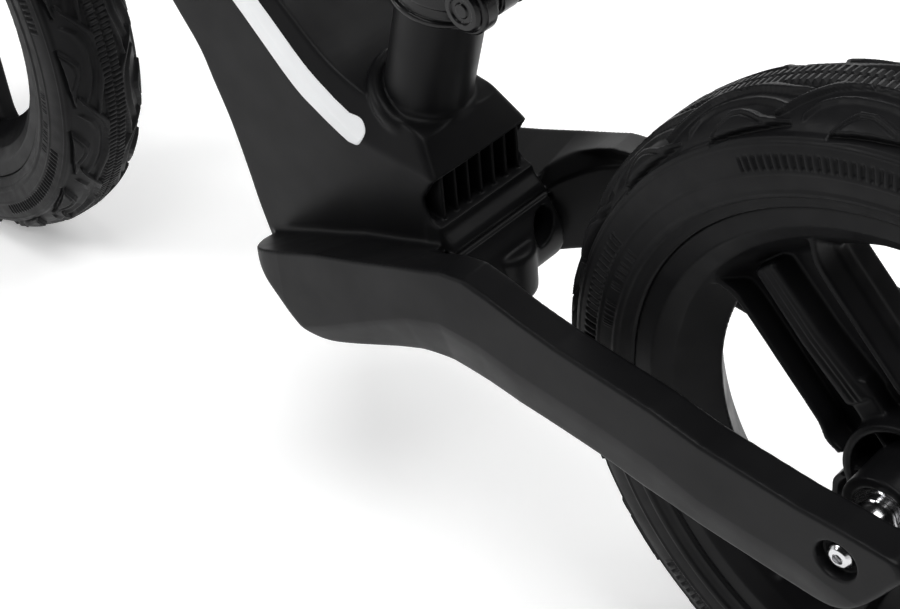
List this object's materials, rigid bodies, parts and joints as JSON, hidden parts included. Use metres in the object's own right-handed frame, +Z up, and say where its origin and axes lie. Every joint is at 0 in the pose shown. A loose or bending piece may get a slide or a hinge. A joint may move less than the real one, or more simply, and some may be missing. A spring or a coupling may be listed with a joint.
{
  "type": "balance bike",
  "caption": "Child's balance bike with a cast frame, footrests, spoked wheels, a saddle on a sliding post and a sliding handlebar.",
  "frame": {"origin": "on the ground at the middle of the wheelbase, on the centre plane", "axes": "+X is forward, +Y is the rider's left, +Z is up"},
  "size_m": [0.902, 0.4438, 0.6093],
  "materials": {
    "frame_paint": "fine satin black paint on a cast alloy",
    "strip_white": "satin white",
    "polished_steel": "bright turned steel",
    "zinc_steel": "zinc plated",
    "wheel_plastic": "satin moulded nylon",
    "tyre_rubber": "black rubber",
    "tube_rubber": "thin butyl rubber",
    "black_plastic": "matte",
    "black_anodised": "black anodised, satin",
    "grip_rubber": "matte black rubber",
    "saddle_cover": "fine-grained black synthetic leather over foam"
  },
  "bodies": {
    "chassis": {"frame": "frame_paint", "left_light_strip": "strip_white", "right_light_strip": "strip_white", "rear_axle": "polished_steel", "rear_axle_bolts": "polished_steel", "rear_axle_spacers": "polished_steel", "rear_bearing_inner_races": "polished_steel", "rear_hub_sleeve": "zinc_steel", "headset_outer_races": "polished_steel", "headset_balls": "polished_steel", "seat_clamp": "black_anodised", "seat_clamp_skewer": "zinc_steel", "seat_clamp_nut": "black_anodised", "seat_clamp_cam_washer": "black_anodised"},
    "steering": {"fork": "frame_paint", "steerer_tube": "zinc_steel", "crown_race": "zinc_steel", "headset_inner_races": "polished_steel", "headset_cover": "black_anodised", "steerer_spacer": "black_anodised", "handlebar_clamp": "black_anodised", "handlebar_clamp_bolt": "zinc_steel", "front_axle": "polished_steel", "front_axle_bolts": "polished_steel", "front_axle_spacers": "polished_steel", "front_bearing_inner_races": "polished_steel", "front_hub_sleeve": "zinc_steel"},
    "rear_wheel_set": {"rear_bearing_outer_races": "polished_steel", "rear_bearing_balls": "polished_steel", "rear_bearing_shields": "polished_steel", "rear_wheel": "wheel_plastic", "rear_tyre": "tyre_rubber", "rear_inner_tube": "tube_rubber", "rear_valve": "zinc_steel", "rear_valve_cap": "black_plastic"},
    "front_wheel_set": {"front_bearing_outer_races": "polished_steel", "front_bearing_balls": "polished_steel", "front_bearing_shields": "polished_steel", "front_wheel": "wheel_plastic", "front_tyre": "tyre_rubber", "front_inner_tube": "tube_rubber", "front_valve": "zinc_steel", "front_valve_cap": "black_plastic"},
    "bar_set": {"handlebar_stem": "black_anodised", "stem_face_plate": "black_anodised", "stem_bolts": "zinc_steel", "handlebar": "black_anodised", "left_grip": "grip_rubber", "right_grip": "grip_rubber", "bar_end_plugs": "black_plastic"},
    "seat_set": {"seat_post": "black_anodised", "saddle_bracket": "black_plastic", "saddle_base": "black_plastic", "saddle_pad": "saddle_cover", "saddle_screws": "zinc_steel"},
    "quick_release": {"seat_clamp_lever": "black_anodised", "seat_clamp_cam_pin": "zinc_steel"}
  },
  "joints": [
    {"name": "steering_turn", "type": "hinge", "parent": "chassis", "child": "steering", "pos_m": [0.19166, 0, 0.35389], "axis": [-0.3746, 0, 0.9272], "range_deg": [-80, 80]},
    {"name": "front_wheel_spin", "type": "hinge", "parent": "steering", "child": "front_wheel_set", "pos_m": [0.301, 0, 0.15], "axis": [0, 1, 0], "continuous": true},
    {"name": "rear_wheel_spin", "type": "hinge", "parent": "chassis", "child": "rear_wheel_set", "pos_m": [-0.301, 0, 0.15], "axis": [0, 1, 0], "continuous": true},
    {"name": "saddle_height", "type": "slide", "parent": "chassis", "child": "seat_set", "axis": [-0.274, 0, 0.9617], "range_m": [-0.01, 0.045]},
    {"name": "handlebar_height", "type": "slide", "parent": "steering", "child": "bar_set", "axis": [-0.3746, 0, 0.9272], "range_m": [0, 0.06]},
    {"name": "seat_clamp_lever_turn", "type": "hinge", "parent": "chassis", "child": "quick_release", "pos_m": [-0.11535, -0.02, 0.2782], "axis": [-0.274, 0, 0.9617], "range_deg": [-150, 0]}
  ]
}
